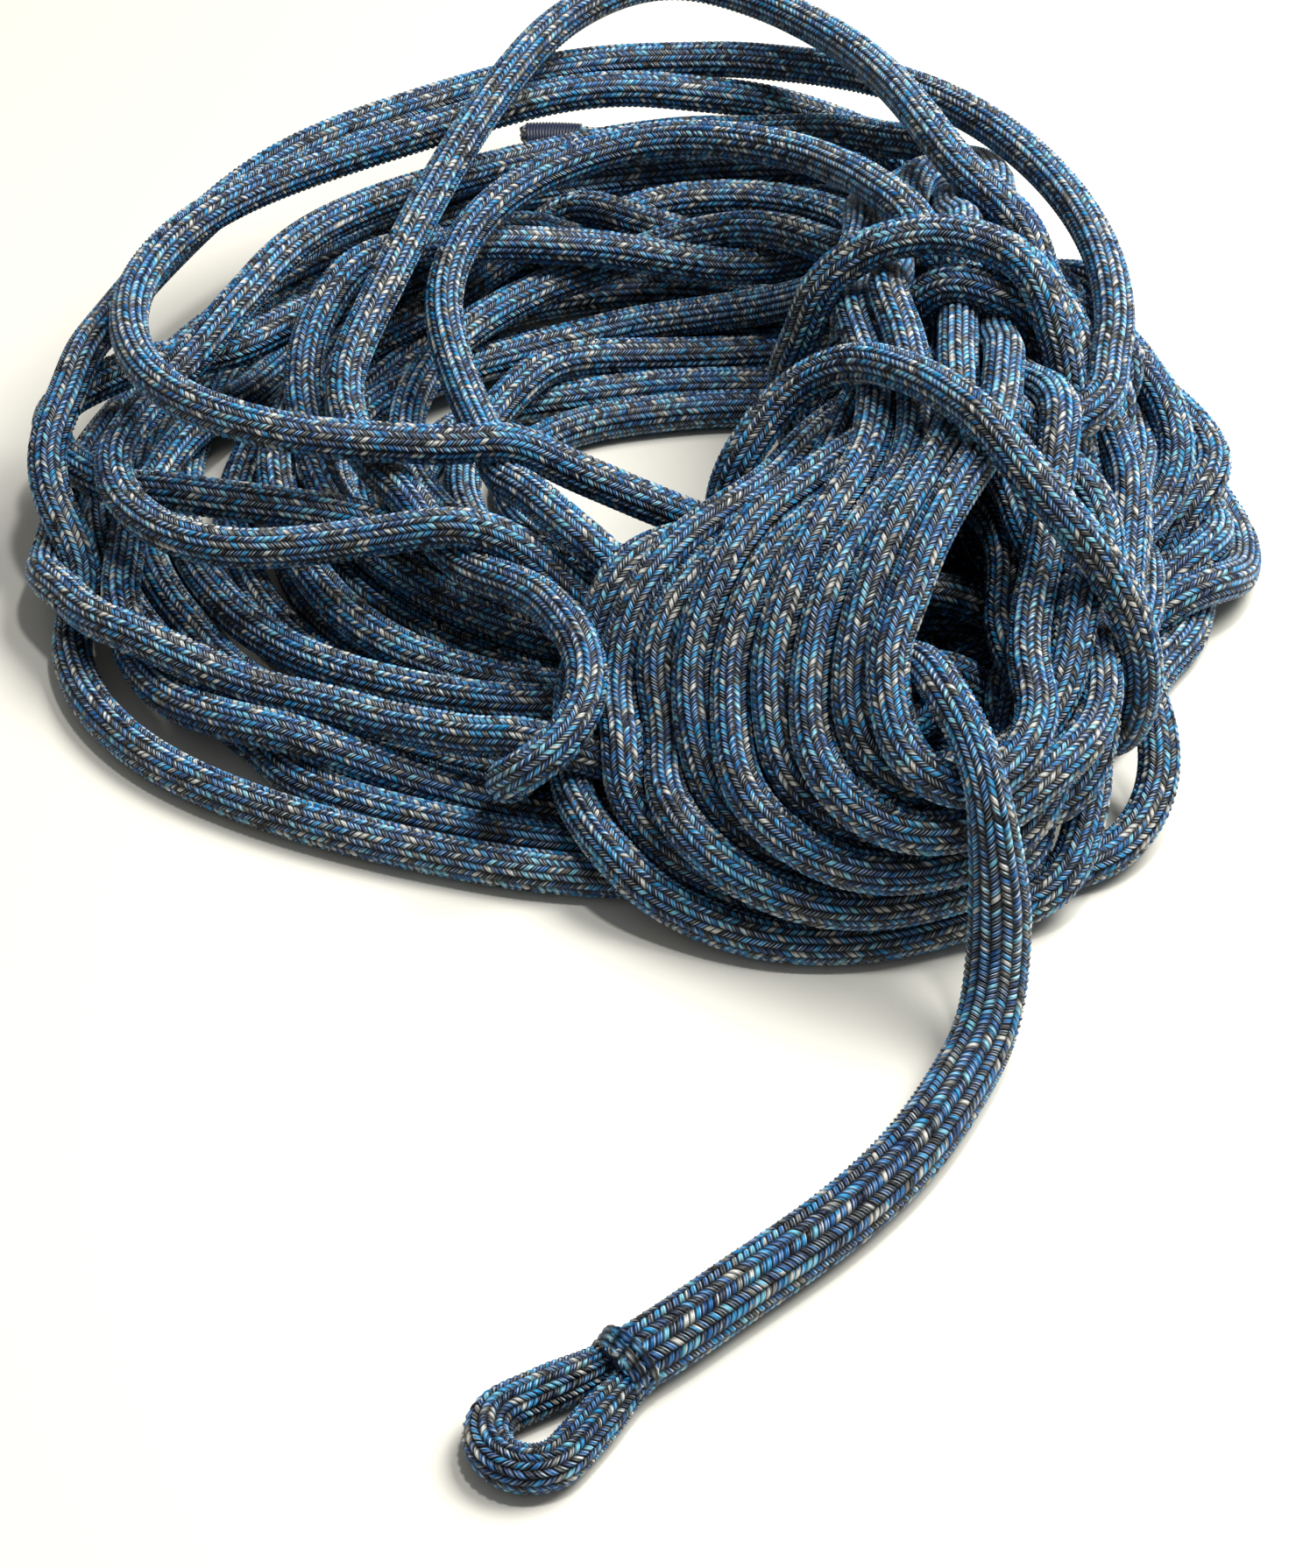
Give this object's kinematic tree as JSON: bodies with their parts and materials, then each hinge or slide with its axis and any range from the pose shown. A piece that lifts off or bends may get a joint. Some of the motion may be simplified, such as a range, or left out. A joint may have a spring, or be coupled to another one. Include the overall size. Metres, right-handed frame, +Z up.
{
  "type": "dock line",
  "caption": "Coiled double-braid dock line, made up as a hank with a neck of finishing turns and a small spliced eye on its free tail.",
  "frame": {"origin": "middle of the footprint, on the surface that the hank lies on", "axes": "+Z up, +Y from the spliced eye towards the big lobe of the hank, +X towards the neck side"},
  "size_m": [0.31, 0.4938, 0.107],
  "materials": {
    "cover_braid": "glossy polyester yarns in blue, navy, grey and cream",
    "core_braid": "plain white polyester braid",
    "throat_braid": "the same yarns, laid across the throat",
    "whipping_twine": "tight navy twine"
  },
  "bodies": {
    "root": {"coil_turns": "cover_braid", "lobe_turns": "cover_braid", "neck_turns": "cover_braid", "ear_loops": "cover_braid", "stray_loop_high": "cover_braid", "stray_loop_right": "cover_braid", "side_loop": "cover_braid", "finishing_wrap_lower": "cover_braid", "finishing_wrap_upper": "cover_braid", "crossing_turn": "cover_braid", "tail": "cover_braid", "splice_cover": "cover_braid", "splice_tuck": "core_braid", "throat_band": "throat_braid", "eye": "cover_braid", "bitter_end": "cover_braid", "end_whipping": "whipping_twine"}
  },
  "joints": []
}
